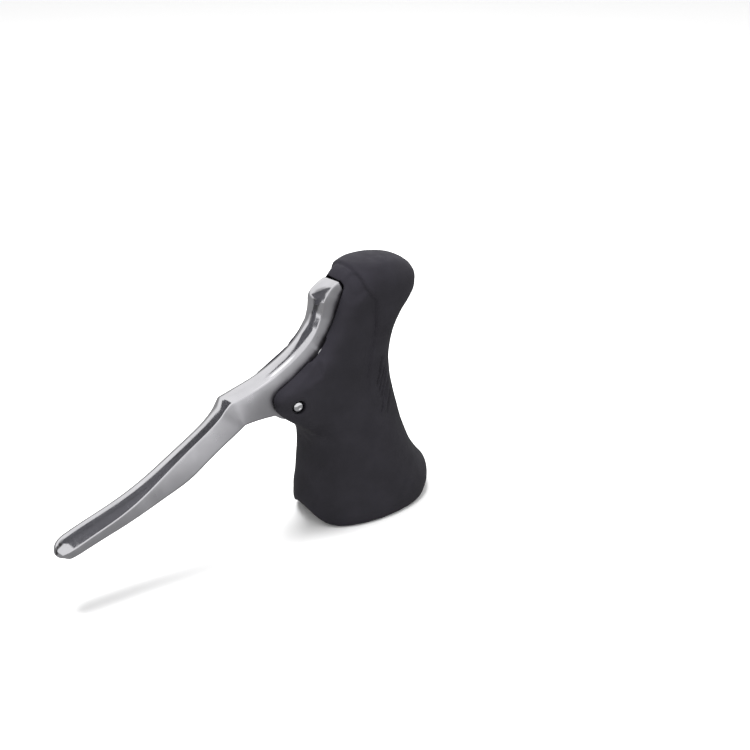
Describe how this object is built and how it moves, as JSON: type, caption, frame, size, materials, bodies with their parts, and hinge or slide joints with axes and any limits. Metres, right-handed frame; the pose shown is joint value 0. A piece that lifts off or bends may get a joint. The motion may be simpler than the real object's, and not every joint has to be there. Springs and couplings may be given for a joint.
{
  "type": "bicycle brake lever",
  "caption": "Drop-bar bicycle brake lever: black rubber hood over a cast body, polished aluminium blade on a sprung pivot, cable anchor and strap clamp for the handlebar.",
  "frame": {"origin": "on the handlebar's axis, at the middle of the clamp strap's width", "axes": "+Z away from the handlebar, towards the hood's horn; +X along the handlebar towards the blade's tip; Y along the pivot pin"},
  "size_m": [0.1582, 0.0398, 0.1048],
  "materials": {
    "hood_rubber": "matt moulded rubber, lightly grained",
    "body_casting": "satin black painted die casting",
    "polished_alloy": "hand-polished, mirror-like with fine scuffs",
    "pin_steel": "ground and polished steel",
    "plated_steel": "zinc plated",
    "band_steel": "rolled stainless strip",
    "spring_steel": "dark oiled spring steel",
    "bush_bronze": "sintered bronze",
    "spool_nylon": "natural nylon",
    "bumper_rubber": "matt rubber"
  },
  "bodies": {
    "body": {"hood": "hood_rubber", "body_bracket": "body_casting", "lever_bumper": "bumper_rubber", "housing_ferrule": "plated_steel", "pivot_pin": "pin_steel", "pin_clip_left": "spring_steel", "pin_clip_right": "spring_steel", "bolt_washer": "plated_steel", "return_spring": "spring_steel"},
    "lever": {"lever_blade": "polished_alloy", "pivot_bush_left": "bush_bronze", "pivot_bush_right": "bush_bronze", "spring_spool": "spool_nylon"},
    "anchor": {"cable_anchor": "pin_steel", "anchor_clip": "spring_steel"},
    "bolt": {"clamp_bolt": "plated_steel", "bolt_circlip": "spring_steel"},
    "band": {"clamp_band": "band_steel", "band_nut": "plated_steel", "band_key_left": "spring_steel", "band_key_right": "spring_steel"}
  },
  "joints": [
    {"name": "lever_pull", "type": "hinge", "parent": "body", "child": "lever", "pos_m": [0.0291, 0, 0.0621], "axis": [0, 1, 0], "range_deg": [0, 32], "stiffness_Nm_per_rad": 0.15, "springref_deg": -28.65, "deforming": ["return_spring"]},
    {"name": "anchor_turn", "type": "hinge", "parent": "lever", "child": "anchor", "pos_m": [0.0132, 0, 0.0765], "axis": [0, 1, 0], "range_deg": [-31, 1]},
    {"name": "clamp_bolt_turn", "type": "hinge", "parent": "body", "child": "bolt", "pos_m": [0, 0, 0.0551], "axis": [0, 0, 1], "range_deg": [0, 7416]},
    {"name": "band_draw", "type": "slide", "parent": "body", "child": "band", "axis": [0, 0, -1], "range_m": [0, 0.0205]}
  ],
  "couplings": [
    {"joint": "anchor_turn", "follows": "lever_pull", "ratio": -0.94},
    {"joint": "clamp_bolt_turn", "follows": "band_draw", "rad_per_m": 6283.2}
  ]
}
